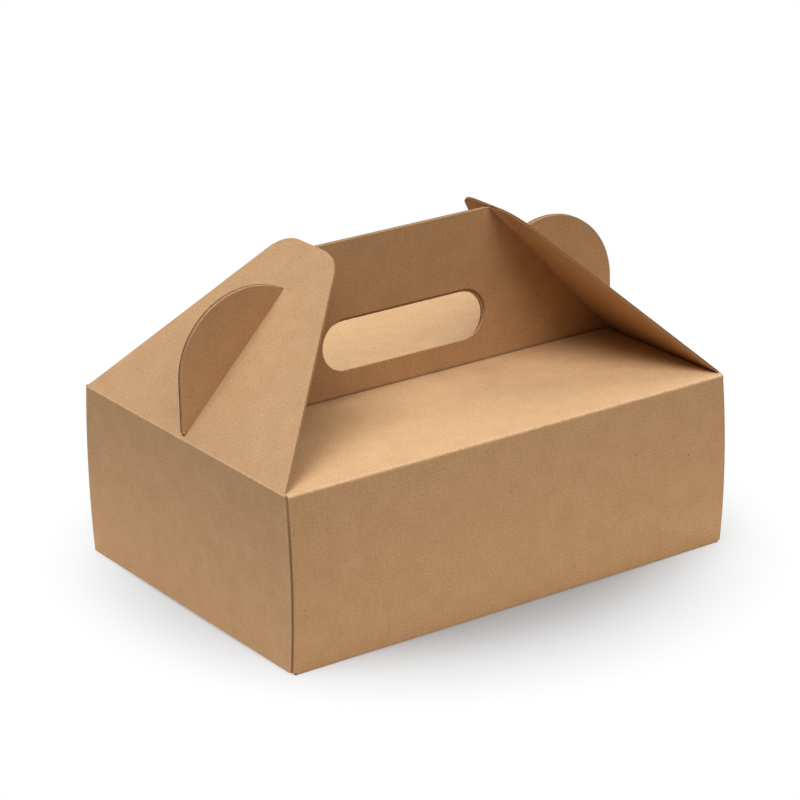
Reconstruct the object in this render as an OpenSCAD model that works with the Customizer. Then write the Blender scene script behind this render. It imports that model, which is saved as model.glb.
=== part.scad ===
// Takeaway carry box of brown micro-flute board: one die-cut sheet, folded up and glued.
// The long walls carry the top panels and the two plies of the hand grip. The short walls
// carry the sloping end flaps, whose slits let the ears of the grip pass and lock.
// The box stands on its base with X along its length, the front at -Y and +Z up.

/* [Box] */
// Length over the end walls
box_length = 250; // [190:5:320]
// Width over the long walls at their top and bottom creases
box_width = 176; // [150:2:230]
// Height of the walls up to the top panels
box_height = 87; // [70:1:120]
// How far each long wall bellies out at mid height
wall_bow = 2.5; // [1:0.5:4]

/* [Board] */
// Thickness of the board
board = 1; // [0.6:0.1:1.6]
// Inside radius of a crease at the top and bottom edges
crease_radius = 0.6; // [0.4:0.1:1.2]
// How far a crease swells past the arc of the wall that it carries
crease_swell = 0.02; // [0.01:0.01:0.05]
// Inside radius of the four upright corners
corner_radius = 1.5; // [1:0.1:3]

/* [Hand grip] */
// Height of the grip above the top panels
grip_height = 76.5; // [72:0.5:84]
// Gap between the two plies of the grip
ply_gap = 0.2; // [0.1:0.1:0.6]
// Radius of the grip's two top corners
grip_corner = 4; // [2:0.5:8]
// Length of the hand hole
hole_length = 94; // [70:1:100]
// Height of the hand hole
hole_height = 26; // [20:1:34]
// Height of the hole's centre above the top panels
hole_rise = 25.5; // [22:0.5:32]
// How much lower the hole sits in the rear ply
rear_hole_drop = 1.4; // [0:0.1:2]

/* [Ears] */
// Radius of the round top of an ear
ear_radius = 37.5; // [30:0.5:38]
// Height of the ear's centre above the top panels
ear_rise = 28; // [22:0.5:29]
// How far an ear stands out past the end wall
ear_overhang = 0.5; // [0:0.1:1]

/* [End flaps] */
// Length of an end flap from its crease to its tip
flap_length = 107.5; // [100:0.5:112]
// Slope of a closed end flap above level
flap_angle = 46.5; // [44:0.5:48]
// How much each side of the flap draws in for each millimetre of its length
flap_taper = 0.6; // [0.45:0.01:0.62]
// How far the flap's root stops short of the long walls
flap_inset = 2; // [1:0.5:5]
// Radius of the flap's two tip corners
flap_corner = 20; // [8:1:20]
// Free room between an ear and the end of the slit when the flap swings
slit_end_room = 0.8; // [0.5:0.1:2]
// Free room on each side of the ears in the slit
slit_side_room = 0.35; // [0.25:0.05:0.8]
// Radius of the relief hole at the root of the slit
relief_radius = 2.4; // [2:0.1:4]
// Free room between a closed flap and the grip's shoulders
shoulder_room = 0.3; // [0.2:0.1:0.6]
// Free room at the crease between a flap and its wall
hinge_room = 0.25; // [0.2:0.05:0.5]

/* [Glued joints] */
// Width of the glue flap inside the front wall
glue_flap_width = 30; // [20:1:45]
// How much each end of the glue flap is cut back
glue_flap_taper = 8; // [4:1:15]
// Depth of the two inner base flaps
inner_flap_depth = 84; // [60:1:90]
// How much each side of an inner base flap draws in towards its tip
inner_flap_taper = 21; // [10:1:30]
// Width of the seam between the two outer base flaps
base_seam = 0.6; // [0.4:0.1:1.2]
// Length of the stepped part of that seam, where the outer base flaps hook together
hook_length = 125; // [90:5:160]
// Height of the step in the seam
hook_step = 24; // [12:1:36]

/* [Hidden] */
$fn = 96;
arc_fn = 720;
outer = [0.78, 0.60, 0.42];
lighter = [0.84, 0.68, 0.50];

// Outside radii of a crease and of an upright corner
crease_out = crease_radius + board;
corner_out = corner_radius + board;
// The bellied wall is an arc about a line along X
mid_height = box_height / 2;
bow_radius = (pow(mid_height, 2) + pow(wall_bow, 2)) / (2 * wall_bow);
bow_centre = box_width / 2 + wall_bow - bow_radius;
// Half angle of the arc between the centres of its two creases, and where these lie
crease_centre_r = bow_radius - crease_out + crease_swell;
bow_half = asin((mid_height - crease_out) / crease_centre_r);
crease_y = bow_centre + crease_centre_r * cos(bow_half);
wall_rise = bow_radius * sin(bow_half);
wall_top = mid_height + wall_rise;
wall_bottom = mid_height - wall_rise;
// Half length of what lies between the upright corners
straight_half = box_length / 2 - corner_out;
// How far a cut reaches past what it cuts
beyond = 20;

// The grip's plies and the crease that carries each of them
ply_inner = ply_gap / 2;
ply_outer = ply_inner + board;
grip_crease_y = ply_outer + crease_radius;
grip_top = box_height + grip_height;
grip_base = box_height + crease_radius;

// The flap turns about the middle of its board
hinge_x = (box_length - board) / 2;
hinge_z = wall_top + hinge_room + board / 2;
// The shoulder line lies under the closed flap's inner face
shoulder_drop = (board / 2 + shoulder_room) / cos(flap_angle);
function shoulder_x(z) = hinge_x - (z - hinge_z + shoulder_drop) / tan(flap_angle);
ear_side = box_length / 2 + ear_overhang;
ear_x = ear_side - ear_radius;
ear_z = box_height + ear_rise;
// The slit reaches past the ear point that lies farthest from the hinge
ear_reach = norm([hinge_x - ear_x, ear_z - hinge_z]) + ear_radius;
slit_width = 2 * (ply_outer + slit_side_room);
slit_length = ear_reach + slit_end_room;
flap_half = box_width / 2 - flap_inset;
flap_tip_half = flap_half - flap_taper * flap_length;

// A strip bent from one angle to another about a centre, in a plane
module bent_strip(inside, thick, from, to) {
    reach = 2 * (inside + thick);
    middle = (from + to) / 2;
    intersection() {
        difference() {
            circle(r = inside + thick);
            circle(r = inside);
        }
        polygon([[0, 0], reach * [cos(from), sin(from)],
            reach * [cos(middle), sin(middle)], reach * [cos(to), sin(to)]]);
    }
}

// What lies inside a line drawn so far in from the outer face of a long wall and its creases
module inside_of_wall(inset, from_y) {
    far = bow_radius + beyond;
    intersection() {
        translate([bow_centre, mid_height]) circle(r = bow_radius - inset, $fn = arc_fn);
        polygon([[crease_y - crease_out, crease_out], [crease_y, crease_out],
            [bow_centre + far * cos(bow_half), mid_height - far * sin(bow_half)],
            [bow_centre + far * cos(bow_half), mid_height + far * sin(bow_half)],
            [crease_y, box_height - crease_out],
            [crease_y - crease_out, box_height - crease_out]]);
    }
    for (z = [crease_out, box_height - crease_out])
        translate([crease_y, z]) circle(r = crease_out - inset);
    translate([from_y, inset]) square([crease_y - from_y, box_height - 2 * inset]);
}

// Section of a long side: base crease, bellied wall, top crease, top panel and grip crease
module long_section() {
    difference() {
        inside_of_wall(0, grip_crease_y);
        inside_of_wall(board, grip_crease_y - beyond);
        // the base panel is drawn by itself
        translate([grip_crease_y - beyond, -beyond])
            square([crease_y - grip_crease_y + beyond, board + 2 * beyond]);
    }
    translate([grip_crease_y, grip_base]) bent_strip(crease_radius, board, 180, 270);
}

// Upright corners and half of each end wall, as a section swept round the line that the
// long wall's arc turns about. The left corner lies inset where it turns into a glue flap.
module corner_section(inset, glue_width) {
    corner_r = bow_radius - corner_out;
    root_r = bow_radius - box_width / 2 - beyond;
    translate([corner_r, straight_half]) bent_strip(corner_radius, board, 0, 90);
    translate([root_r, box_length / 2 - board]) square([corner_r - root_r, board]);
    translate([corner_r - inset, -straight_half]) bent_strip(corner_radius, board, -90, 0);
    translate([root_r, -box_length / 2]) square([corner_r - inset - root_r, board]);
    if (glue_width > 0)
        translate([bow_radius - inset - board, -straight_half]) square([board, glue_width]);
}

// What the slanted ends of the glue flap leave free, from just past the corner to its tip
module glue_flap_ends() {
    tip = -straight_half + glue_flap_width;
    for (end = [0, 1])
        translate([0, box_width, mid_height]) mirror([0, 0, end]) rotate([90, 0, 0])
            linear_extrude(box_width)
                polygon([[-straight_half, wall_rise + board / 2],
                    [tip, wall_rise - glue_flap_taper], [tip, wall_rise + beyond],
                    [-straight_half, wall_rise + beyond]]);
}

module corners_and_ends(inset, glue_width) {
    difference() {
        intersection() {
            translate([0, bow_centre, mid_height]) rotate([0, 90, 0])
                rotate_extrude($fn = arc_fn) corner_section(inset, glue_width);
            translate([-box_length, 0, wall_bottom])
                cube([2 * box_length, box_width, wall_top - wall_bottom]);
        }
        if (glue_width > 0) glue_flap_ends();
    }
}

// Right half of a grip ply seen from the front: the sloping shoulder with its round top
module grip_half() {
    top_half = shoulder_x(grip_top);
    run = grip_corner * tan(flap_angle / 2);
    polygon([[0, grip_base], [shoulder_x(grip_base), grip_base],
        [top_half + run * cos(flap_angle), grip_top - run * sin(flap_angle)],
        [top_half - run, grip_top], [0, grip_top]]);
    translate([top_half - run, grip_top - grip_corner]) circle(r = grip_corner);
}

// The ear stands out of the shoulder, round above its centre and upright below it
module ear() {
    intersection() {
        union() {
            translate([ear_x, ear_z]) circle(r = ear_radius);
            polygon([[ear_x, grip_base], [straight_half, grip_base],
                [ear_side, grip_base + ear_side - straight_half], [ear_side, ear_z],
                [ear_x, ear_z]]);
        }
        translate([0, grip_base]) square([ear_side, grip_height]);
    }
}

// The hand hole is a slot with round ends
module hand_hole(z) {
    end_x = (hole_length - hole_height) / 2;
    for (side = [-1, 1])
        translate([side * end_x, z]) circle(d = hole_height);
    translate([-end_x, z - hole_height / 2]) square([2 * end_x, hole_height]);
}

module grip_ply(hole_z) {
    translate([0, ply_outer, 0]) rotate([90, 0, 0]) linear_extrude(board) difference() {
        for (side = [0, 1]) mirror([side, 0]) {
            grip_half();
            ear();
        }
        hand_hole(hole_z);
    }
}

// One long side with its wall, creases, top panel and ply of the grip, on the rear side
module long_side(inset, glue_width, hole_z) {
    corners_and_ends(inset, glue_width);
    translate([-straight_half, 0, 0]) rotate([90, 0, 90])
        linear_extrude(2 * straight_half) long_section();
    grip_ply(hole_z);
}

// Half of the outer base layer, hooked into the other half along a stepped seam
module outer_base_flap() {
    hook_half = hook_length / 2;
    step = hook_step / 2;
    gap = base_seam / 2;
    linear_extrude(board)
        polygon([[-straight_half, crease_y], [-straight_half, gap],
            [-hook_half, gap], [-hook_half + step, step + gap], [-step, step + gap],
            [step, gap - step], [hook_half - step, gap - step], [hook_half, gap],
            [straight_half, gap], [straight_half, crease_y]]);
}

// Inner base flap of an end wall, glued on the outer base layer
module inner_base_flap() {
    root = box_length / 2 - crease_out;
    root_half = crease_y - corner_out;
    tip = root - inner_flap_depth;
    tip_half = root_half - inner_flap_taper;
    translate([0, 0, board]) linear_extrude(board)
        polygon([[root, -root_half], [root, root_half], [tip, tip_half], [tip, -tip_half]]);
    translate([root, root_half, board + crease_out]) rotate([90, 0, 0])
        linear_extrude(2 * root_half) bent_strip(crease_radius, board, -90, 0);
}

// Room for the end wall's base crease, which starts one board above the floor
module end_crease_room() {
    root_half = crease_y - corner_out;
    translate([box_length / 2 - crease_out, -root_half, 0])
        cube([crease_out + beyond, 2 * root_half, board + crease_out]);
}

module box_body() {
    color(outer) {
        difference() {
            union() {
                long_side(0, 0, box_height + hole_rise - rear_hole_drop);
                mirror([0, 1, 0]) long_side(board, glue_flap_width, box_height + hole_rise);
            }
            end_crease_room();
            mirror([1, 0, 0]) end_crease_room();
        }
        outer_base_flap();
        rotate([0, 0, 180]) outer_base_flap();
        inner_base_flap();
        mirror([1, 0, 0]) inner_base_flap();
    }
}

// End flap laid out flat from its hinge, with its length along X and its root at X = 0
module flap_outline() {
    lean = atan(flap_taper);
    run = flap_corner * tan((90 - lean) / 2);
    slit_end = slit_length - slit_width / 2;
    difference() {
        for (side = [0, 1]) mirror([0, side]) {
            polygon([[0, 0], [0, flap_half],
                [flap_length - run * cos(lean), flap_tip_half + run * sin(lean)],
                [flap_length, flap_tip_half - run], [flap_length, 0]]);
            translate([flap_length - flap_corner, flap_tip_half - run]) circle(r = flap_corner);
        }
        translate([-board, -slit_width / 2]) square([slit_end + board, slit_width]);
        translate([slit_end, 0]) circle(d = slit_width);
        translate([board, 0]) circle(r = relief_radius);
    }
}

module end_flap() {
    translate([0, 0, -board / 2]) linear_extrude(board) flap_outline();
    // rounded root along the crease, open where the slit starts
    difference() {
        translate([0, flap_half, 0]) rotate([90, 0, 0]) cylinder(d = board, h = 2 * flap_half);
        translate([board, 0, -board]) cylinder(r = relief_radius, h = 2 * board);
    }
}

module right_end_flap() {
    color(lighter) translate([hinge_x, 0, hinge_z]) rotate([0, flap_angle + 180, 0]) end_flap();
}

module left_end_flap() {
    color(lighter) translate([-hinge_x, 0, hinge_z]) rotate([0, -flap_angle, 0]) end_flap();
}

box_body();
left_end_flap();
right_end_flap();
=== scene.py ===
import bpy
import numpy as np
from mathutils import Matrix, Vector


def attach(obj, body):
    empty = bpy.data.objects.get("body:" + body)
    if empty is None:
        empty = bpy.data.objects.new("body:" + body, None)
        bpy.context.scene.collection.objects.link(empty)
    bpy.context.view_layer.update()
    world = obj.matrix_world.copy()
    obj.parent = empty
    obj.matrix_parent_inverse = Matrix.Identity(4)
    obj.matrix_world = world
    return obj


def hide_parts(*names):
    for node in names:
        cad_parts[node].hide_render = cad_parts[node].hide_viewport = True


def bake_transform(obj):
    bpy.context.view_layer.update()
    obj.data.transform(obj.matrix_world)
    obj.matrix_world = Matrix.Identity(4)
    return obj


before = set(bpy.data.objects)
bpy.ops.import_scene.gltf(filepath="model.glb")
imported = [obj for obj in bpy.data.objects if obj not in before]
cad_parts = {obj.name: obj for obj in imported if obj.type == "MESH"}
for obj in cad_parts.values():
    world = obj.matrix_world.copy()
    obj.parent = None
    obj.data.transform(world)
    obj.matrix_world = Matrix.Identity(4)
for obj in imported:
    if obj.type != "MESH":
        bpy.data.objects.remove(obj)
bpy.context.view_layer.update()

# Long sides: each is one panel run of the folded sheet, an outer base flap, a bellied wall, a top
# panel and one ply of the hand grip with its two ears. It is brown kraft micro-flute board, 1 mm
# thick: two liners with a fluted sheet glued between them, die-cut and bent along rounded creases.

# the walls in millimetres, the board and its layers, and the radii of its bends
length = 250.0
width = 176.0
height = 87.0
belly = 2.5
board = 1.0
liner = 0.19
fluting = 0.26
flute_pitch = 2.25
crease_in = 0.6
crease_out = crease_in + board
corner_out = 2.5
# each liner from its outer to its inner face, as depths into the board
liner_depths = ((0, liner), (board - liner, board))

# half lengths of a straight wall, of a top panel, and of the front wall at its glued corner
straight_half = length / 2 - corner_out
tab_half = 124.0
seam_half = 124.25

# a wall bows out along an arc, and its creases lie where the arc meets them
middle = height / 2
bow_r = (middle ** 2 + belly ** 2) / (2 * belly)
bow_y = width / 2 + belly - bow_r
bow_half = np.arcsin((middle - crease_out) / (bow_r - crease_out))
crease_y = bow_y + (bow_r - crease_out) * np.cos(bow_half)

# the hand grip: its plies' holes and ears don't match quite, as in any folded box
ply_outer = 1.1
grip_y = ply_outer + crease_in
grip_foot = height + crease_in
grip_top = 163.5
grip_corner = 4.0
hole_half = 47.0
hole_round = 13.0
hole_z = {"front": 112.5, "rear": 110.9}
hole_drift = {"front": 0.0, "rear": -0.9}
ear_r = {"front": 38.3, "rear": 38.45}
ear_x = 85.9
ear_z = 113.45
ear_edge_room = 0.06

# the closed end flaps' slope, their hinge line, and the grip's shoulders just below them
slope = np.radians(46.5)
hinge_x = 124.5
hinge_z = 86.3251
shoulder_room = 0.3
shoulder_drop = (board / 2 + shoulder_room) / np.cos(slope)
top_half = hinge_x - (grip_top - hinge_z + shoulder_drop) / np.tan(slope)
corner_run = grip_corner * np.tan(slope / 2)
ear_sunk = (hinge_x - ear_x) * np.sin(slope) + (hinge_z - shoulder_drop - ear_z) * np.cos(slope)

# the base seam: where its runs turn, how far it steps to each side, and half its open width
seam_turns = (12.0, 50.5, 62.5)
seam_step = 12.0
seam_room = 0.3

# distances over the outer face, from the base crease up to the foot of the grip
crease_end = crease_out * (np.pi / 2 - bow_half)
wall_end = crease_end + 2 * bow_r * bow_half
shoulder_end = wall_end + crease_end
panel_end = shoulder_end + crease_y - grip_y
foot_end = panel_end + crease_in * np.pi / 2


def fold_long_side(x, s, w):
    """Points of the rear long side, from x along it, s over its outer face and w into the board.

    Flat panels keep their direction. A bend is c + (r - w)(cos a, sin a) with a growing by ds / r,
    and the grip's crease, which hollows in, is c + (r + w)(cos a, sin a) with a falling.
    """
    base = s / crease_out - np.pi / 2
    wall = (s - crease_end) / bow_r - bow_half
    top = (s - wall_end) / crease_out + bow_half
    foot = -np.pi / 2 - (s - panel_end) / crease_in
    part = [s < 0, s < crease_end, s < wall_end, s < shoulder_end, s < panel_end, s < foot_end]
    y = np.select(part, [
        crease_y + s, crease_y + (crease_out - w) * np.cos(base),
        bow_y + (bow_r - w) * np.cos(wall), crease_y + (crease_out - w) * np.cos(top),
        crease_y - (s - shoulder_end), grip_y + (crease_in + w) * np.cos(foot)],
        ply_outer - w)
    z = np.select(part, [
        w + 0 * s, crease_out + (crease_out - w) * np.sin(base),
        middle + (bow_r - w) * np.sin(wall), height - crease_out + (crease_out - w) * np.sin(top),
        height - w + 0 * s, grip_foot + (crease_in + w) * np.sin(foot)],
        grip_foot + s - foot_end)
    return np.stack([x + 0 * y, y, z], -1)


def mirrored(points, axis):
    """The same points on the other side of the middle plane: that coordinate changes its sign."""
    sign = np.ones(3)
    sign[axis] = -1
    return points * sign


def arc_columns(centre, radius, start, stop, count):
    """Columns below an arc, close together where it is steep: x = c + r cos a."""
    return centre + radius * np.cos(np.radians(np.linspace(start, stop, count)))


def both_ways(*columns):
    """Columns on both sides of zero in rising order, each of them once."""
    right = np.concatenate([np.atleast_1d(c) for c in columns])
    return np.unique(np.round(np.concatenate([-right, right]), 5))


def grip_edge(x, radius):
    """Height of the grip's upper edge: the flat top, its round corner, the slope and the ear.

    The corner and the ear are circles, z = c + sqrt(r^2 - (x - c)^2), and the slope falls by its
    tangent; the ear counts where it stands higher than the slope. The front wall's last column,
    a hair past the ear's circle, ends level with the ear's centre.
    """
    x = np.abs(x)
    sunk = np.sqrt(np.maximum(grip_corner ** 2 - (x - top_half + corner_run) ** 2, 0))
    falling = hinge_z - shoulder_drop + (hinge_x - x) * np.tan(slope)
    edge = np.select([x < top_half - corner_run, x < top_half + corner_run * np.cos(slope)],
                     [grip_top + 0 * x, grip_top - grip_corner + sunk], falling)
    ear = ear_z + np.sqrt(np.maximum(radius ** 2 - (x - ear_x) ** 2, 0))
    return np.where(np.abs(x - ear_x) < radius + ear_edge_room, np.maximum(edge, ear), edge)


def hole_reach(x):
    """Half height of the hand hole over x: straight in the middle, a half circle at each end."""
    past = np.maximum(np.abs(x) - (hole_half - hole_round), 0)
    return np.sqrt(np.maximum(hole_round ** 2 - past ** 2, 0))


def seam_edge(x):
    """Where the outer base flap ends, y over x: its half of the stepped, hooked seam.

    Straight runs join one step on the left, one step back on the right, and the middle line past
    both, each with the seam's room added.
    """
    run, slant, end = seam_turns
    steps = seam_step * np.array([0, 1, 1, -1, -1, 0])
    return np.interp(x, [-end, -slant, -run, run, slant, end], steps + seam_room)


def banded_grid(lines, breaks, parts, gone):
    """Grid over a flat blank whose lines, columns or rows, each have their own breaks.

    The points of a band lie at low + (high - low) f for each fraction f, and gone says which
    squares a band lacks. Returns each point's line, its place on it, and which squares are there.
    """
    places = [breaks[0]]
    there = []
    for low, high, part, missing in zip(breaks, breaks[1:], parts, gone):
        for f in part[1:]:
            places.append(low + (high - low) * f)
            there.append(~missing)
    along = np.stack(places, 1)
    return np.repeat(lines[:, None], along.shape[1], 1), along, np.stack(there, 1)


def even(count):
    """Fractions from 0 to 1 in even steps."""
    return np.linspace(0, 1, count + 1)


def edged(count, inset):
    """Fractions from 0 to 1 with two extra rows close to each end, for the wear and painted light along
    creases.
    """
    core = np.linspace(inset, 1 - inset, count + 1)
    return np.concatenate([[0, inset / 3], core, [1 - inset / 3, 1]])


def closed_sheet(front, back, across, up, there, wear_and_painted_light=None, turned=False):
    """Closed sheet between two grids of points: a front, a back turned round, and a rim.

    Grid points at one place of the blank are welded. Each square is two triangles, those that
    collapse are dropped, and each edge that only one front triangle uses gets a wall to the back.
    Returns points, triangles, blank coordinates, the points' wear and painted light, and which triangles are
    rim.
    """
    blank = np.round(np.stack([across, up], -1).reshape(-1, 2), 4)
    kept, first, weld = np.unique(blank, axis=0, return_index=True, return_inverse=True)
    weld = weld.reshape(across.shape)
    a, b, c, d = weld[:-1, :-1], weld[1:, :-1], weld[1:, 1:], weld[:-1, 1:]
    faces = np.concatenate([np.stack([a, b, c], -1)[there], np.stack([a, c, d], -1)[there]])
    whole = (faces[:, 0] != faces[:, 1]) & (faces[:, 1] != faces[:, 2]) & (faces[:, 2] != faces[:, 0])
    faces = faces[whole]
    if turned:
        faces = faces[:, ::-1]
    edges = np.concatenate([faces[:, [0, 1]], faces[:, [1, 2]], faces[:, [2, 0]]])
    ordered = np.sort(edges, 1)
    code = ordered[:, 0].astype(np.int64) * len(kept) + ordered[:, 1]
    index, uses = np.unique(code, return_inverse=True, return_counts=True)[1:]
    p, q = edges[uses[index.reshape(-1)] == 1].T
    n = len(kept)
    rim = np.concatenate([np.stack([q, p, p + n], -1), np.stack([q, p + n, q + n], -1)])
    points = np.concatenate([front.reshape(-1, 3)[first], back.reshape(-1, 3)[first]])
    triangles = np.concatenate([faces, faces[:, ::-1] + n, rim])
    is_rim = np.arange(len(triangles)) >= 2 * len(faces)
    wear_and_shading = np.zeros(across.shape) if wear_and_painted_light is None else wear_and_painted_light
    used, packed = np.unique(triangles, return_inverse=True)
    return (points[used], packed.reshape(-1, 3), np.tile(kept, (2, 1))[used],
            np.tile(wear_and_shading.reshape(-1)[first], 2)[used], is_rim)


def board_piece(name, body, layers, materials, cut_tone=1.0):
    """One object from the layers of a panel: their meshes side by side, each with its material.

    A layer is (closed sheet, material index). The blank coordinates become the UV map "blank" in
    metres. The point attribute holds the wear and painted light, and the face attribute "cut" is cut_tone
    on the rims and 0 elsewhere: both run from 1, a painted highlight with some rubbed wear, down to -1,
    painted shade.
    """
    counts = np.cumsum([0] + [len(sheet[0]) for sheet, index in layers])
    points = np.concatenate([sheet[0] for sheet, index in layers]) / 1000
    triangles = np.concatenate([sheet[1] + n for (sheet, index), n in zip(layers, counts)])
    blank = np.concatenate([sheet[2] for sheet, index in layers]) / 1000
    wear_and_painted_light = np.concatenate([sheet[3] for sheet, index in layers])
    cut = cut_tone * np.concatenate([sheet[4] for sheet, index in layers])
    slots = np.concatenate([np.full(len(sheet[1]), index) for sheet, index in layers])
    mesh = bpy.data.meshes.new(name)
    mesh.from_pydata(points, [], triangles)
    uv = mesh.uv_layers.new(name="blank")
    uv.uv.foreach_set("vector", blank[triangles.reshape(-1)].astype(np.float32).reshape(-1))
    mesh.attributes.new("wear_and_painted_light", "FLOAT", "POINT").data.foreach_set("value", wear_and_painted_light.astype(np.float32))
    mesh.attributes.new("cut", "FLOAT", "FACE").data.foreach_set("value", cut.astype(np.float32))
    for material in materials:
        mesh.materials.append(material)
    mesh.polygons.foreach_set("material_index", slots.astype(np.int32))
    mesh.shade_smooth()
    sharp_from = np.radians(35)
    mesh.set_sharp_from_angle(angle=sharp_from)
    piece = bpy.data.objects.new(name, mesh)
    bpy.context.scene.collection.objects.link(piece)
    if body:
        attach(piece, body)
    return piece


def linear(hex_colour):
    """An sRGB colour such as #c8a078 as linear red, green, blue and an alpha of 1."""
    part = np.array([int(hex_colour[i:i + 2], 16) for i in (1, 3, 5)]) / 255
    rgb = np.where(part <= 0.04045, part / 12.92, ((part + 0.055) / 1.055) ** 2.4)
    return (*rgb.tolist(), 1.0)


def add(tree, kind, inputs=None, **settings):
    """Adds a node with its settings; an input is a value, or a socket that is linked to it."""
    node = tree.nodes.new(kind)
    for key, value in settings.items():
        setattr(node, key, value)
    for key, value in (inputs or {}).items():
        if isinstance(value, bpy.types.NodeSocket):
            tree.links.new(value, node.inputs[key])
        else:
            node.inputs[key].default_value = value
    return node


def board_paper(name):
    """A paper of the board: its material, nodes and shader, and the blank's place in millimetres."""
    material = bpy.data.materials.new(name)
    material.use_nodes = True
    tree = material.node_tree
    blank_uv = add(tree, "ShaderNodeUVMap", uv_map="blank").outputs[0]
    blank_mm = add(tree, "ShaderNodeMapping", {"Vector": blank_uv, "Scale": (1000, 1000, 1000)}).outputs[0]
    return material, tree, tree.nodes["Principled BSDF"], blank_mm


# Unbleached kraft liner, made on a paper machine: matt long-fibre paper with a soft mottle, fine
# grain, faint lines where it lies on the flutes and a few dark specks of bark. Its creases and cut
# edges carry a painted highlight and painted shade, with some rubbed wear on the outer creases.
kraft_liner, tree, shader, blank_mm = board_paper("kraft_liner_machine_made")
# clouds of pulp about 11 mm across
mottle = add(tree, "ShaderNodeTexNoise", {"Vector": blank_mm, "Scale": 0.09, "Detail": 3.0}).outputs[0]
pulp = add(tree, "ShaderNodeMix", {0: mottle, 6: linear("#b89269"), 7: linear("#c8a27b")},
           data_type="RGBA").outputs[2]
# felted fibres in clumps of 1 to 2 mm, as they show from a step away
grain = add(tree, "ShaderNodeTexNoise",
            {"Vector": blank_mm, "Scale": 1.0, "Detail": 3.0, "Roughness": 0.7}).outputs[0]
grain_tone = add(tree, "ShaderNodeMapRange",
                 {"Value": grain, "From Min": 0.25, "From Max": 0.75,
                  "To Min": 0.81, "To Max": 1.19}).outputs[0]
# streaks of fibres 1.3 mm apart and 10 mm long along the machine's run, coarser than real to show
along = add(tree, "ShaderNodeMapping", {"Vector": blank_mm, "Scale": (0.8, 0.1, 1)}).outputs[0]
fibre = add(tree, "ShaderNodeTexNoise", {"Vector": along, "Scale": 1.0, "Detail": 2.0}).outputs[0]
fibre_tone = add(tree, "ShaderNodeMapRange",
                 {"Value": fibre, "From Min": 0.25, "From Max": 0.75,
                  "To Min": 0.965, "To Max": 1.035}).outputs[0]
# one wave for each flute: a wave texture repeats every 2 pi / (20 scale)
flutes = add(tree, "ShaderNodeTexWave",
             {"Vector": blank_mm, "Scale": 2 * np.pi / (20 * flute_pitch), "Distortion": 1.2,
              "Detail": 1.0, "Detail Scale": 0.3}, bands_direction="Y").outputs[1]
flute_tone = add(tree, "ShaderNodeMapRange",
                 {"Value": flutes, "To Min": 0.99, "To Max": 1.01}).outputs[0]
tone = add(tree, "ShaderNodeMath", {0: grain_tone, 1: fibre_tone}, operation="MULTIPLY").outputs[0]
tone = add(tree, "ShaderNodeMath", {0: tone, 1: flute_tone}, operation="MULTIPLY").outputs[0]
# values below 0 of either attribute are painted shade, in the grip's crease, at the glued corner and on cut
# edges set in shade: down to 0.42 of the paper's own tone
wear_and_painted_light = add(tree, "ShaderNodeAttribute", attribute_name="wear_and_painted_light").outputs["Fac"]
cut = add(tree, "ShaderNodeAttribute", attribute_name="cut").outputs["Fac"]
painted_shade = add(tree, "ShaderNodeMath", {0: wear_and_painted_light, 1: cut}, operation="MINIMUM").outputs[0]
painted_shade = add(tree, "ShaderNodeMapRange",
              {"Value": painted_shade, "From Min": -1.0, "From Max": 0.0,
               "To Min": 0.42, "To Max": 1.0}).outputs[0]
tone = add(tree, "ShaderNodeMath", {0: tone, 1: painted_shade}, operation="MULTIPLY").outputs[0]
# values above 0 are a painted highlight, partly rubbed wear on the outer creases, also on the ridge and on
# lit cut edges: along a crease it comes and goes every few millimetres
patchy = add(tree, "ShaderNodeTexNoise", {"Vector": blank_mm, "Scale": 0.6, "Detail": 1.0}).outputs[0]
patchy = add(tree, "ShaderNodeMapRange",
             {"Value": patchy, "From Min": 0.35, "From Max": 0.6,
              "To Min": 0.15, "To Max": 0.42}).outputs[0]
highlight_and_wear = add(tree, "ShaderNodeMath", {0: wear_and_painted_light, 1: patchy}, operation="MULTIPLY").outputs[0]
cut_highlight = add(tree, "ShaderNodeMath", {0: cut, 1: 0.6}, operation="MULTIPLY").outputs[0]
highlight_and_wear = add(tree, "ShaderNodeMath", {0: highlight_and_wear, 1: cut_highlight}, operation="MAXIMUM", use_clamp=True).outputs[0]
# the pale colour of the painted highlight and the rubbed wear
pulp = add(tree, "ShaderNodeMix", {0: highlight_and_wear, 6: pulp, 7: linear("#ecc9a2")}, data_type="RGBA").outputs[2]
toned = add(tree, "ShaderNodeVectorMath", {0: pulp, "Scale": tone}, operation="SCALE").outputs[0]
# only the highest peaks of a 2 mm noise become specks, less than a millimetre across
bark = add(tree, "ShaderNodeTexNoise", {"Vector": blank_mm, "Scale": 0.5, "Detail": 1.0}).outputs[0]
speck = add(tree, "ShaderNodeMapRange",
            {"Value": bark, "From Min": 0.72, "From Max": 0.80, "To Min": 0.0, "To Max": 0.55}).outputs[0]
paper_colour = add(tree, "ShaderNodeMix", {0: speck, 6: toned, 7: linear("#6b4a2c")},
                   data_type="RGBA").outputs[2]
tree.links.new(paper_colour, shader.inputs["Base Color"])
height_mix = add(tree, "ShaderNodeMath", {0: grain, 1: fibre}, operation="ADD").outputs[0]
bump = add(tree, "ShaderNodeBump", {"Height": height_mix, "Strength": 0.35, "Distance": 0.0001}).outputs[0]
tree.links.new(bump, shader.inputs["Normal"])
shader.inputs["Roughness"].default_value = 0.88
shader.inputs["IOR"].default_value = 1.45
shader.inputs["Specular IOR Level"].default_value = 0.05
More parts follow.
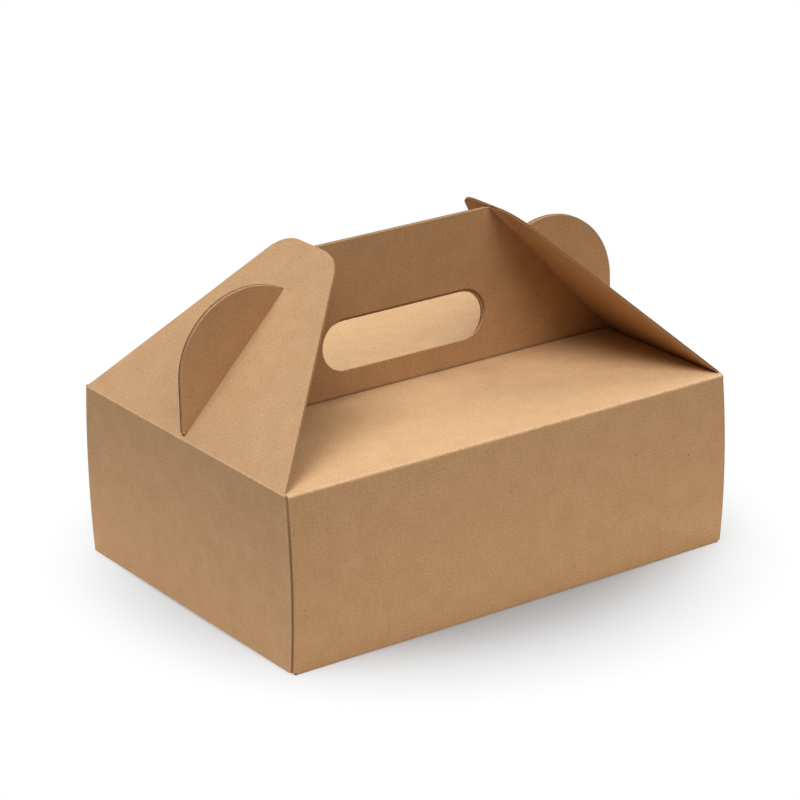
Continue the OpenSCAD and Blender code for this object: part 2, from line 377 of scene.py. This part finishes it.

# Fluting medium, semi-chemical paper pressed to waves between hot rolls: darker and rougher than
# the liners, so the board's cut edges show a dark line of cells between two pale ones. On a cut edge
# with painted shade its cells are painted darker still.
fluting_paper, tree, shader, blank_mm = board_paper("fluting_medium_corrugated")
pulp_noise = add(tree, "ShaderNodeTexNoise", {"Vector": blank_mm, "Scale": 0.9, "Detail": 3.0}).outputs[0]
pulp = add(tree, "ShaderNodeMix", {0: pulp_noise, 6: linear("#a17a52"), 7: linear("#b48c62")},
           data_type="RGBA").outputs[2]
cut = add(tree, "ShaderNodeAttribute", attribute_name="cut").outputs["Fac"]
# painted shade on the cells of the cut edges set in shade
shaded = add(tree, "ShaderNodeMapRange",
             {"Value": cut, "From Min": -1.0, "From Max": 0.0, "To Min": 0.35, "To Max": 1.0}).outputs[0]
pulp = add(tree, "ShaderNodeVectorMath", {0: pulp, "Scale": shaded}, operation="SCALE").outputs[0]
tree.links.new(pulp, shader.inputs["Base Color"])
shader.inputs["Roughness"].default_value = 0.9
shader.inputs["Specular IOR Level"].default_value = 0.05


def notch_angle(radius):
    """Where the slope meets the ear's circle, as an angle: 90 - slope + arccos(distance / r)."""
    return np.pi / 2 - slope + np.arccos(ear_sunk / radius)


def side_columns(radius):
    """Columns of a long side: an even set, and more where an arc or a corner needs them."""
    return both_ways(
        np.linspace(0, straight_half, 22), [*seam_turns, tab_half, seam_half],
        arc_columns(hole_half - hole_round, hole_round, 90, 0, 13),
        arc_columns(top_half - corner_run, grip_corner, 90, 90 - np.degrees(slope), 7),
        arc_columns(ear_x, radius, np.degrees(notch_angle(radius)), 0, 40))


# width of the top panel's band beside its bend, over which the wear and painted highlight fade
crease_fade_band = 1.6


def long_side_grid(x, which):
    """Blank grid of a long side: its columns run from the base seam to the grip's edge.

    Its bands are the base flap, its crease, the wall, the top bend, the worn band, the top panel,
    the grip's crease, and the ply below, beside and above the hand hole.
    """
    flip = -1 if which == "front" else 1
    hole = foot_end + hole_z[which] - grip_foot
    foot = foot_end + np.maximum(np.abs(x) - straight_half, 0)
    mid = (x[:-1] + x[1:]) / 2
    outside = np.abs(mid) > straight_half
    past_seam = outside & ((mid > 0) | (mid < -seam_half)) if which == "front" else outside
    past_tab = np.abs(mid) > tab_half
    in_hole = np.abs(mid) < hole_half
    all_there = np.zeros(len(mid), bool)
    whole = 0 * x
    breaks = [seam_edge(flip * x) - crease_y, whole, whole + crease_end, whole + wall_end,
              whole + shoulder_end, whole + shoulder_end + crease_fade_band, whole + panel_end, foot,
              hole - hole_reach(x), hole + hole_reach(x),
              foot_end + grip_edge(x, ear_r[which]) - grip_foot]
    parts = [edged(1, 0.02), even(6), edged(12, 0.02), even(6), even(2), edged(3, 0.02), even(5),
             edged(1, 0.1), even(1), edged(1, 0.04)]
    gone = [outside, outside, past_seam, past_tab, past_tab, outside, outside,
            all_there, in_hole, all_there]
    return banded_grid(x, breaks, parts, gone)


rows_each_flute = 12


def flute_rows(start, stop, *extra):
    """Heights of the rows along the flutes: twelve for each flute, and where an arc needs more."""
    first = np.ceil(start / flute_pitch * rows_each_flute) * flute_pitch / rows_each_flute
    rows = np.concatenate([np.arange(first, stop, flute_pitch / rows_each_flute), [start, stop]]
                          + [np.atleast_1d(e) for e in extra])
    return np.unique(np.round(rows, 4))


def flute_wave(s):
    """Depth of the fluting sheet's middle: half the board plus its room times a cut-off sine.

    The sine of 2 pi s / pitch is doubled and cut off at 1 and -1, so the sheet lies flat along
    the liners and crosses steeply between them.
    """
    steep = np.clip(2 * np.sin(2 * np.pi * s / flute_pitch), -1, 1)
    return board / 2 + (board / 2 - liner - fluting / 2) * steep


def fluting_grid(which):
    """Blank grid of the fluting from the top panel up: each row is cut off where the liners are.

    Over a row's height z the hand hole ends at c + sqrt(r^2 - (z - c)^2), the grip's slope and
    its corner at x, and the ear at c -+ sqrt(r^2 - (z - c)^2); up to the notch the last two meet.
    """
    lift = foot_end - grip_foot
    hole, radius = hole_z[which], ear_r[which]
    notch_x = ear_x + radius * np.cos(notch_angle(radius))
    notch_z = ear_z + radius * np.sin(notch_angle(radius))
    turn = np.radians(np.linspace(-90, 90, 15))
    # the ear's quarter from level up, and the steeper part of it that the corner has
    ear_turn, corner_turn = turn[7:], turn[10:]
    up = flute_rows(shoulder_end, grip_top + lift, panel_end, foot_end + ear_x + radius - straight_half,
                    notch_z + lift, hole + hole_round * np.sin(turn) + lift,
                    ear_z + radius * np.sin(ear_turn) + lift,
                    grip_top - grip_corner + grip_corner * np.sin(corner_turn) + lift)
    z = up - lift
    ear = np.sqrt(np.maximum(radius ** 2 - np.maximum(z - ear_z, 0) ** 2, 0))
    side = np.minimum(ear_x + ear, straight_half + np.maximum(z - grip_foot, 0))
    sunk = z - grip_top + grip_corner
    corner = top_half - corner_run + np.sqrt(np.maximum(grip_corner ** 2 - sunk ** 2, 0))
    falling = hinge_x - (z - hinge_z + shoulder_drop) / np.tan(slope)
    upper = np.where(sunk > grip_corner * np.cos(slope), corner, falling)
    hole_end = hole_half - hole_round + np.sqrt(np.maximum(hole_round ** 2 - (z - hole) ** 2, 0))
    main_end = np.where(z > notch_z, upper, notch_x)
    ear_start = np.where(z > notch_z, ear_x - ear, notch_x)
    mid = (z[:-1] + z[1:]) / 2
    all_there = np.zeros(len(mid), bool)
    gap = mid > notch_z
    breaks = [-side, -ear_start, -main_end, -hole_end, hole_end, main_end, ear_start, side]
    gone = [all_there, gap, all_there, np.abs(mid - hole) < hole_round, all_there, gap, all_there]
    up, across, there = banded_grid(up, breaks, [even(1)] * 7, gone)
    return across, up, there


def crease_falloff(s, creases, spread):
    """Wear and painted light along creases: 1 on each of them, falling as exp(-(d / spread)^2) beside it."""
    past = np.stack([np.maximum(np.maximum(low - s, s - high), 0) for low, high in creases])
    return np.exp(-(past.min(0) / spread) ** 2)


# how far out the grip keeps still, over what length the drift grows inwards, and over what height
drift_from = 66.0
drift_run = 16.0
drift_rise = 8.0


def shifted(x, s, shift):
    """The blank's x with the hole's surround moved by shift: whole at the hole, none at the ears."""
    inner = np.clip((drift_from - np.abs(x)) / drift_run, 0, 1)
    above = np.clip((s - foot_end) / drift_rise, 0, 1)
    return x + shift * inner * above


# a painted highlight, partly rubbed wear, runs along the bends of the foot and of the top, and the grip's
# crease has painted shade
foot_wear_and_highlight = (0.4 * crease_end, 0.6 * crease_end)
top_wear_and_highlight = (shoulder_end - 1.3, shoulder_end - 0.9)
grip_crease_shade = (panel_end + 0.25, foot_end - 0.25)
# a painted highlight on the front side's cut edges, and painted shade on the rear side's, which lie in the
# dark of the hand hole
side_cut = {"front": 1.0, "rear": -0.85}
# the core at the front wall's cut edge: how far it stands past the liners, and lies under each face
core_past = 0.04
core_under = 0.05
for which in ("front", "rear"):
    across, up, there = long_side_grid(side_columns(ear_r[which]), which)
    # painted highlight with wear on the bends, less painted shade in the grip's crease
    wear_and_shading = crease_falloff(up, [foot_wear_and_highlight, top_wear_and_highlight], spread=0.45) - crease_falloff(up, [grip_crease_shade], spread=0.3)
    moved = shifted(across, up, hole_drift[which])
    layers = []
    for outer_w, inner_w in liner_depths:
        front = fold_long_side(moved, up, outer_w)
        back = fold_long_side(moved, up, inner_w)
        if which == "front":
            front, back = mirrored(front, 1), mirrored(back, 1)
        layers.append((closed_sheet(front, back, across, up, there, wear_and_shading, which == "rear"), 0))
    if which == "front":
        edge_rows = np.linspace(crease_end, shoulder_end, 60)
        across, up = np.meshgrid([-seam_half - core_past, -straight_half], edge_rows, indexing="ij")
        front = mirrored(fold_long_side(across, up, core_under), 1)
        back = mirrored(fold_long_side(across, up, board - core_under), 1)
        there = np.ones((1, len(edge_rows) - 1), bool)
        layers.append((closed_sheet(front, back, across, up, there), 1))
    across, up, there = fluting_grid(which)
    wave = flute_wave(up)
    moved = shifted(across, up, hole_drift[which])
    front = fold_long_side(moved, up, wave - fluting / 2)
    back = fold_long_side(moved, up, wave + fluting / 2)
    if which == "front":
        front, back = mirrored(front, 1), mirrored(back, 1)
    layers.append((closed_sheet(front, back, across, up, there, None, which == "front"), 1))
    side = board_piece(which + "_side", "box", layers, (kraft_liner, fluting_paper), side_cut[which])
    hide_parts("box_body")

# End walls: the short walls of the same sheet, bent round the four upright corners, which follow
# the belly of the long walls. At the front left the sheet ends in a glue flap behind the front wall.
glue_width = 30.0
glue_taper = 8.0
corner_length = corner_out * np.pi / 2
wall_low = middle - bow_r * np.sin(bow_half)
wall_high = middle + bow_r * np.sin(bow_half)

# the blank's x in the middle of an end wall, and its height at the end flap's crease
wall_across = straight_half + corner_length + crease_y
flap_up = wall_high + 1

# beside the cut edge of the front wall the bend has painted shade, as in a shadowed groove, least at
# the top: where between 1 and 2 round the corner that begins, over how much of it it grows, how far
# above the wall it would end, and over what height it fades
shade_turn = 1.32
shade_grows = 0.14
shade_top = 12.0
shade_fades = 30.0


def fold_end_wall(t, z, w, front_inset, glued):
    """Points of the right end wall: t from -1 to 1 crosses it, and beyond runs round a corner.

    A corner is a circle about the straight wall's end, one corner radius inside the belly, and
    every radius r turns into y = c + sqrt(r^2 - (z - m)^2). From t = -2 on it is the glue flap.
    """
    inset = np.where(t < 0, front_inset, 0.0)
    bend = np.clip(np.abs(t) - 1, 0, 1) * np.pi / 2
    r = bow_r - corner_out - inset + (corner_out - w) * np.sin(bend)
    reach = bow_y + np.sqrt(r ** 2 - (z - middle) ** 2)
    front_reach = bow_y + np.sqrt((bow_r - corner_out - front_inset) ** 2 - (z - middle) ** 2)
    rear_reach = bow_y + np.sqrt((bow_r - corner_out) ** 2 - (z - middle) ** 2)
    flat = (rear_reach - front_reach) / 2 + t * (rear_reach + front_reach) / 2
    y = np.where(np.abs(t) <= 1, flat, np.sign(t) * reach)
    x = straight_half + (corner_out - w) * np.cos(bend) - glued * np.maximum(-t - 2, 0)
    return np.stack([x, y, z + 0 * x], -1)


for which in ("left", "right"):
    glued = glue_width if which == "left" else 0.0
    inset = board if which == "left" else 0.0
    # columns round the front corner, over the wall and round the rear corner
    t = np.concatenate([np.linspace(-2, -1, 15)[:-1], np.linspace(-1, 1, 9), np.linspace(1, 2, 9)[1:]])
    if glued:
        t = np.concatenate([np.linspace(-3, -2, 5)[:-1], t])
    cutback = np.maximum(-t - 2, 0) * glue_taper
    across = (wall_across + np.clip(t, -1, 1) * crease_y
              + np.clip(np.abs(t) - 1, 0, 1) * np.sign(t) * corner_length + np.minimum(t + 2, 0) * glued)
    low = wall_low + cutback
    high = wall_high - cutback
    rows = edged(14, 0.02)
    z = low[:, None] + (high - low)[:, None] * rows[None, :]
    tt = np.repeat(t[:, None], len(rows), 1)
    blank_x = np.repeat(across[:, None], len(rows), 1)
    there = np.ones((len(t) - 1, len(rows) - 1), bool)
    # a painted highlight, partly rubbed wear, along the crease to the end flap
    wear_and_shading = crease_falloff(z, [(flap_up, flap_up)], spread=0.5)
    if glued:
        # painted shade on the corner's bend beside the front wall's cut edge
        into_shade = np.clip((-tt - shade_turn) / shade_grows, 0, 1)
        wear_and_shading = wear_and_shading - into_shade * np.clip((wall_high + shade_top - z) / shade_fades, 0, 1)
    layers = []
    for outer_w, inner_w in liner_depths:
        front = fold_end_wall(tt, z, outer_w, inset, glued)
        back = fold_end_wall(tt, z, inner_w, inset, glued)
        if which == "left":
            front, back = mirrored(front, 0), mirrored(back, 0)
        layers.append((closed_sheet(front, back, blank_x, z, there, wear_and_shading, which == "left"), 0))
    wall = board_piece(which + "_end_wall", "box", layers, (kraft_liner, fluting_paper))
    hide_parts("box_body")

# Inner base flaps: of the same sheet, folded in from the foot of each end wall and glued on the
# outer base flaps. They narrow to their tips.
base_depth = 84.0
base_half = 84.0
base_taper = 21.0
base_turn = crease_out * np.pi / 2


def fold_base_flap(q, s, w):
    """Right inner base flap: q from -1 to 1 across it, s from the end wall's foot to its tip.

    The crease is c + (r - w)(cos a, sin a) for a from 0 to -90 degrees; the flap lies one board
    above the floor and narrows evenly to its tip.
    """
    turn = np.clip(s / crease_out, 0, np.pi / 2)
    flat = np.maximum(s - base_turn, 0)
    x = length / 2 - crease_out + (crease_out - w) * np.cos(turn) - flat
    z = board + crease_out - (crease_out - w) * np.sin(turn)
    y = q * (crease_y - corner_out - base_taper * flat / base_depth)
    return np.stack([x + 0 * y, y, z + 0 * y], -1)


for which in ("left", "right"):
    s = np.concatenate([np.linspace(0, base_turn, 7), base_turn + base_depth * even(2)[1:]])
    q, s = np.meshgrid(np.linspace(-1, 1, 5), s, indexing="ij")
    there = np.ones((q.shape[0] - 1, q.shape[1] - 1), bool)
    layers = []
    for outer_w, inner_w in liner_depths:
        front = fold_base_flap(q, s, outer_w)
        back = fold_base_flap(q, s, inner_w)
        if which == "left":
            front, back = mirrored(front, 0), mirrored(back, 0)
        layers.append((closed_sheet(front, back, q * base_half, -s, there, None, which == "right"), 0))
    base_flap = board_piece(which + "_inner_base_flap", "box", layers, (kraft_liner, fluting_paper))
    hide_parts("box_body")

# End flaps: the slanted lids of the short walls, which narrow to a round-cornered tip. A slit up the
# middle lets the grip's ears through, and a round relief hole ends it at the crease.
flap_length = 107.5
flap_half = 86.0
flap_taper = 0.6
flap_corner = 20.0
slit_half = 1.25
slit_length = 83.6
relief_r = 1.8
relief_v = 3.4
# distance from the hinge line where the crease's strip ends and the flap begins
root = 1.5
lean = np.arctan(flap_taper)
tip_run = flap_corner * np.tan((np.pi / 2 - lean) / 2)
tip_half = flap_half - flap_taper * flap_length - tip_run

# the right flap's ridge: its height, its outer foot's distance from the middle and the width over
# which it falls there, the width of its steep side at the slit, its distance from the slit's end
# and the run of its own end, and how pale a painted highlight it gets for each millimetre of height
ridge_height = 0.6
ridge_foot = 8.0
ridge_fall = 3.0
ridge_side = 0.25
ridge_gap = 3.5
ridge_end = 0.8
ridge_highlight = 1.2
# how far from the middle its close columns reach
ridge_columns = 8.4


def flap_point(u, v, w):
    """Right flap: v runs from the hinge up the slope, u along the crease, w in from the outer face.

    Point = hinge + v d + (half board - w) n, with d up the slope and n square to it.
    """
    x = hinge_x - v * np.cos(slope) + (board / 2 - w) * np.sin(slope)
    z = hinge_z + v * np.sin(slope) + (board / 2 - w) * np.cos(slope)
    return np.stack([x, u + 0 * x, z], -1)


def pressed(u, v):
    """Height of the ridge pressed into the right flap's inner face, beside the front ply's corner.

    It climbs at once at the slit, runs level and falls smoothly, as h f^2 (3 - 2 f) with f from 0
    to 1, and it begins a little above the slit's end, where it climbs evenly.
    """
    over = np.clip((-u - slit_half) / ridge_side, 0, 1) * np.clip((ridge_foot + u) / ridge_fall, 0, 1)
    begun = np.clip((v - slit_length - ridge_gap) / ridge_end, 0, 1)
    return ridge_height * over * over * (3 - 2 * over) * begun


def flap_grid():
    """Blank grid of a flap: each row is cut off at the slit or its relief hole and at the edge.

    The edge leans in by the taper for each millimetre of v, then follows the corner's circle,
    u = c + sqrt(r^2 - (v - c)^2), as the relief hole does.
    """
    turn = np.radians(np.linspace(-90, 90, 13))
    bend = np.linspace(lean, np.pi / 2, 14)
    v = flute_rows(root, flap_length, slit_length, relief_v + relief_r * np.sin(turn),
                   flap_length - flap_corner + flap_corner * np.sin(bend))
    past = v - flap_length + flap_corner
    corner = tip_half + np.sqrt(np.maximum(flap_corner ** 2 - past ** 2, 0))
    edge = np.where(past > flap_corner * np.sin(lean), corner, flap_half - flap_taper * v)
    relief = np.sqrt(np.maximum(relief_r ** 2 - (v - relief_v) ** 2, 0))
    slit = np.maximum(relief, np.where(v > relief_v, slit_half, 0))
    mid = (v[:-1] + v[1:]) / 2
    all_there = np.zeros(len(mid), bool)
    in_slit = (mid > relief_v - relief_r) & (mid < slit_length)
    # the columns of the ridge's strip lie closest together at its steep side
    strip = np.minimum(ridge_columns, edge)
    strip_parts = np.append(even(10)[:-1], [0.965, 0.98, 1])
    v, u, there = banded_grid(v, [-edge, -strip, -slit, slit, edge],
                              [even(2), strip_parts, even(2), even(3)],
                              [all_there, all_there, in_slit, all_there])
    return u, v, there


# the left flap's cut edges get a little painted highlight, and the right flap's, on the flap in shade, a
# little painted shade
flap_cut = {"left": 0.5, "right": -0.4}
for which in ("left", "right"):
    u, v, there = flap_grid()
    layers = []
    for outer_w, inner_w in liner_depths:
        dent = pressed(u, v) if which == "right" and outer_w > 0 else 0 * v
        front = flap_point(u, v, outer_w + dent)
        back = flap_point(u, v, inner_w + dent)
        if which == "left":
            front, back = mirrored(front, 0), mirrored(back, 0)
        # the ridge's painted highlight grows with its height
        sheet = closed_sheet(front, back, u, v, there, ridge_highlight * dent, which == "right")
        sheet[2][:] += (wall_across, flap_up)
        layers.append((sheet, 0))
    wave = flute_wave(v)
    front = flap_point(u, v, wave - fluting / 2)
    back = flap_point(u, v, wave + fluting / 2)
    if which == "left":
        front, back = mirrored(front, 0), mirrored(back, 0)
    layers.append((closed_sheet(front, back, u, v, there, None, which == "right"), 1))
    flap = board_piece(which + "_flap_panel", which + "_flap", layers, (kraft_liner, fluting_paper),
                       flap_cut[which])
    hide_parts(which + "_end_flap")

# Creases of the end flaps: the strip of the sheet that bends between an end wall and its flap. It
# is crushed board, so it is one closed strip without cells.
crease_turn = np.pi / 2 - slope
up_slope = np.array([-np.cos(slope), np.sin(slope)])
square_off = np.array([np.sin(slope), np.cos(slope)])
half_board = board / 2

# both profiles are (x, z) from the hinge line: up the wall, round the bend and up the slope
bend_low = -0.4
outer_profile = np.array(
    [(half_board, z) for z in (wall_high - hinge_z, bend_low)]
    + [(half_board * np.cos(a), half_board * np.sin(a)) for a in np.linspace(0, crease_turn, 4)]
    + [tuple(half_board * square_off + v * up_slope) for v in (0.5, root)])
meet = (half_board - half_board * square_off[0]) / -up_slope[0]
meet_z = -half_board * square_off[1] + meet * up_slope[1]
inner_profile = np.array(
    [(-half_board, z) for z in (wall_high - hinge_z, -0.5, bend_low, -0.32, -0.25, meet_z)]
    + [tuple(-half_board * square_off + v * up_slope) for v in (0.6, root)])

# the same rows as distances up the flap, where its edge leans in, and as heights on the blank
strip_v = np.array([0, 0, 0, 0, 0, 0, 0.5, root])
strip_up = wall_high + np.array([0, 0.35, 0.7, 0.8, 0.9, 1.0, 1.5, 1 + root])
strip_q = np.linspace(-1, 1, 17)
for which in ("left", "right"):
    y = strip_q[:, None] * (flap_half - flap_taper * strip_v)[None, :]
    sides = []
    for profile in (outer_profile, inner_profile):
        points = np.stack([hinge_x + profile[:, 0] + 0 * y, y, hinge_z + profile[:, 1] + 0 * y], -1)
        sides.append(mirrored(points, 0) if which == "left" else points)
    there = np.ones((len(strip_q) - 1, len(strip_v) - 1), bool)
    across = strip_q[:, None] * flap_half + 0 * y
    up = strip_up[None, :] + 0 * y
    # a painted highlight, partly rubbed wear, along the crease
    wear_and_shading = crease_falloff(up, [(flap_up - 0.25, flap_up)], spread=0.25)
    sheet = closed_sheet(sides[0], sides[1], across, up, there, wear_and_shading, which == "left")
    sheet[2][:] += (wall_across, 0)
    strip = board_piece(which + "_flap_crease", None, [(sheet, 0)], (kraft_liner, fluting_paper))
    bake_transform(strip)

# Studio: the box stands on a round sheet of white paper on a ground that lights nothing. Five soft
# lamps, far off, light it; the camera and mirror-like surfaces see the ground and the room as white.
white_seen = 1.0


def seen_white(tree, dark_shader):
    """The shader itself for scattered light, and plain white for camera, glossy and clear rays."""
    path = add(tree, "ShaderNodeLightPath")
    seen = add(tree, "ShaderNodeMath", {0: path.outputs["Is Camera Ray"], 1: path.outputs["Is Glossy Ray"]},
               operation="MAXIMUM").outputs[0]
    seen = add(tree, "ShaderNodeMath", {0: seen, 1: path.outputs["Is Transmission Ray"]},
               operation="MAXIMUM").outputs[0]
    white = add(tree, "ShaderNodeEmission", {"Color": (1, 1, 1, 1), "Strength": white_seen}).outputs[0]
    return add(tree, "ShaderNodeMixShader", {0: seen, 1: dark_shader, 2: white}).outputs[0]


def ground(name, corners, material):
    """A flat stage piece on the given corners."""
    mesh = bpy.data.meshes.new(name)
    mesh.from_pydata(corners, [], [tuple(range(len(corners)))])
    mesh.materials.append(material)
    piece = bpy.data.objects.new(name, mesh)
    bpy.context.scene.collection.objects.link(piece)


# the sheet of paper in metres: its own white lights the box, and what the camera sees of it is a
# painted, blurred shadow of the box, mixed with its real shadow, which fades from the box's long sides out to
# plain white
sheet_r = 0.3
shadow_middle = (0.005, 0, 0)
shadow_from = 0.09
tone_stop = 0.155
glow_stop = 0.185
clear_stop = 0.18
sheet_paper = bpy.data.materials.new("white_paper_uncoated")
sheet_paper.use_nodes = True
tree = sheet_paper.node_tree
shader = tree.nodes["Principled BSDF"]
shader.inputs["Roughness"].default_value = 0.9
shader.inputs["Specular IOR Level"].default_value = 0.0
seen = add(tree, "ShaderNodeLightPath").outputs["Is Camera Ray"]
place = add(tree, "ShaderNodeTexCoord").outputs["Object"]
place = add(tree, "ShaderNodeVectorMath", {0: place, 1: shadow_middle}, operation="SUBTRACT").outputs[0]
away = add(tree, "ShaderNodeVectorMath", {0: place}, operation="LENGTH").outputs["Value"]


def fading(stop, least, most):
    """A value that rises smoothly from least at the box's long sides to most at the distance stop."""
    return add(tree, "ShaderNodeMapRange",
               {"Value": away, "From Min": shadow_from, "From Max": stop, "To Min": least, "To Max": most},
               interpolation_type="SMOOTHSTEP").outputs[0]


# to the lamps it is white paper, and to the camera it has a painted shadow, darker in its middle
tone = add(tree, "ShaderNodeMix", {0: fading(tone_stop, 0, 1), 6: linear("#a2a2a2"), 7: linear("#dddddd")},
           data_type="RGBA").outputs[2]
tone = add(tree, "ShaderNodeMix", {0: seen, 6: linear("#e6e2dc"), 7: tone}, data_type="RGBA").outputs[2]
tree.links.new(tone, shader.inputs["Base Color"])
# painted shadow: the glow the camera sees is dimmed to half near the box, and mixed there with the lamps'
# real shadow
white = add(tree, "ShaderNodeEmission",
            {"Color": (1, 1, 1, 1), "Strength": fading(glow_stop, 0.5, white_seen)}).outputs[0]
fade = add(tree, "ShaderNodeMath", {0: fading(clear_stop, 0.4, 1), 1: seen}, operation="MULTIPLY").outputs[0]
mixed = add(tree, "ShaderNodeMixShader", {0: fade, 1: shader.outputs[0], 2: white}).outputs[0]
tree.links.new(mixed, tree.nodes["Material Output"].inputs["Surface"])
turn = np.linspace(0, 2 * np.pi, 96, endpoint=False)
ground("paper_sheet", [(sheet_r * np.cos(a), sheet_r * np.sin(a), 0) for a in turn], sheet_paper)

# the ground reaches far past the sheet, half a millimetre below it
far_ground = bpy.data.materials.new("ground_seen_white")
far_ground.use_nodes = True
tree = far_ground.node_tree
dark = tree.nodes["Principled BSDF"]
dark.inputs["Base Color"].default_value = (0.02, 0.02, 0.02, 1)
dark.inputs["Specular IOR Level"].default_value = 0.0
tree.links.new(seen_white(tree, dark.outputs[0]), tree.nodes["Material Output"].inputs["Surface"])
ground_half = 30
ground_z = -0.0005
ground("studio_ground",
       [(x * ground_half, y * ground_half, ground_z) for x, y in ((-1, -1), (1, -1), (1, 1), (-1, 1))],
       far_ground)

world = bpy.data.worlds.new("surround")
world.use_nodes = True
tree = world.node_tree
unlit = tree.nodes["Background"]
unlit.inputs["Strength"].default_value = 0.0
tree.links.new(seen_white(tree, unlit.outputs[0]), tree.nodes["World Output"].inputs["Surface"])
bpy.context.scene.world = world

# how wide each lamp looks from the box, in degrees
lamp_spread = 35


def soft_lamp(name, turn, rise, share):
    """A wide, far lamp at an angle round from the front and above the ground.

    Share is its red, green and blue; at 1 a surface that faces the lamp renders as its colour.
    """
    lamp = bpy.data.lights.new(name, "SUN")
    lamp.energy = max(share) * np.pi
    lamp.color = [part / max(share) for part in share]
    lamp.angle = np.radians(lamp_spread)
    holder = bpy.data.objects.new(name, lamp)
    bpy.context.scene.collection.objects.link(holder)
    turn, rise = np.radians([turn, rise])
    towards = Vector((np.sin(turn) * np.cos(rise), -np.cos(turn) * np.cos(rise), np.sin(rise)))
    holder.rotation_euler = towards.to_track_quat("Z", "Y").to_euler()


soft_lamp("left_lamp", 270, 70, (0.76, 0.80, 0.89))
soft_lamp("rear_right_lamp", 135, 50, (0.45, 0.47, 0.49))
soft_lamp("right_lamp", 90, 50, (0.15, 0.18, 0.17))
soft_lamp("front_lamp", 0, 50, (0.32, 0.29, 0.27))
soft_lamp("front_left_lamp", 315, 50, (0.16, 0.13, 0.08))

# Camera: a long lens at the photograph's angle, held a degree off level. It looks towards the foot
# of the front wall, moved a little to the left and up. Its lengths are in metres.
turn, rise, roll = np.radians([-34.808, 20.897, -1.028])
aim = np.array([0, -0.088, 0])
distance = 1.47907
moved_left = 0.054292
moved_up = 0.096216
frame_pixels = 800
focal_pixels = 3177.47
back = np.array([np.sin(turn) * np.cos(rise), -np.cos(turn) * np.cos(rise), np.sin(rise)])
level = np.array([np.cos(turn), np.sin(turn), 0])
upright = np.cross(back, level)
right = level * np.cos(roll) + upright * np.sin(roll)
up = upright * np.cos(roll) - level * np.sin(roll)
spot = aim + back * distance - right * moved_left + up * moved_up
lens = bpy.data.cameras.new("camera")
lens.sensor_width = 36
lens.lens = focal_pixels * lens.sensor_width / frame_pixels
lens.clip_start = 0.1
lens.clip_end = 100
camera = bpy.data.objects.new("camera", lens)
bpy.context.scene.collection.objects.link(camera)
camera.matrix_world = Matrix([[right[i], up[i], back[i], spot[i]] for i in range(3)] + [[0, 0, 0, 1]])
bpy.context.scene.camera = camera
bpy.context.scene.view_settings.view_transform = "Standard"
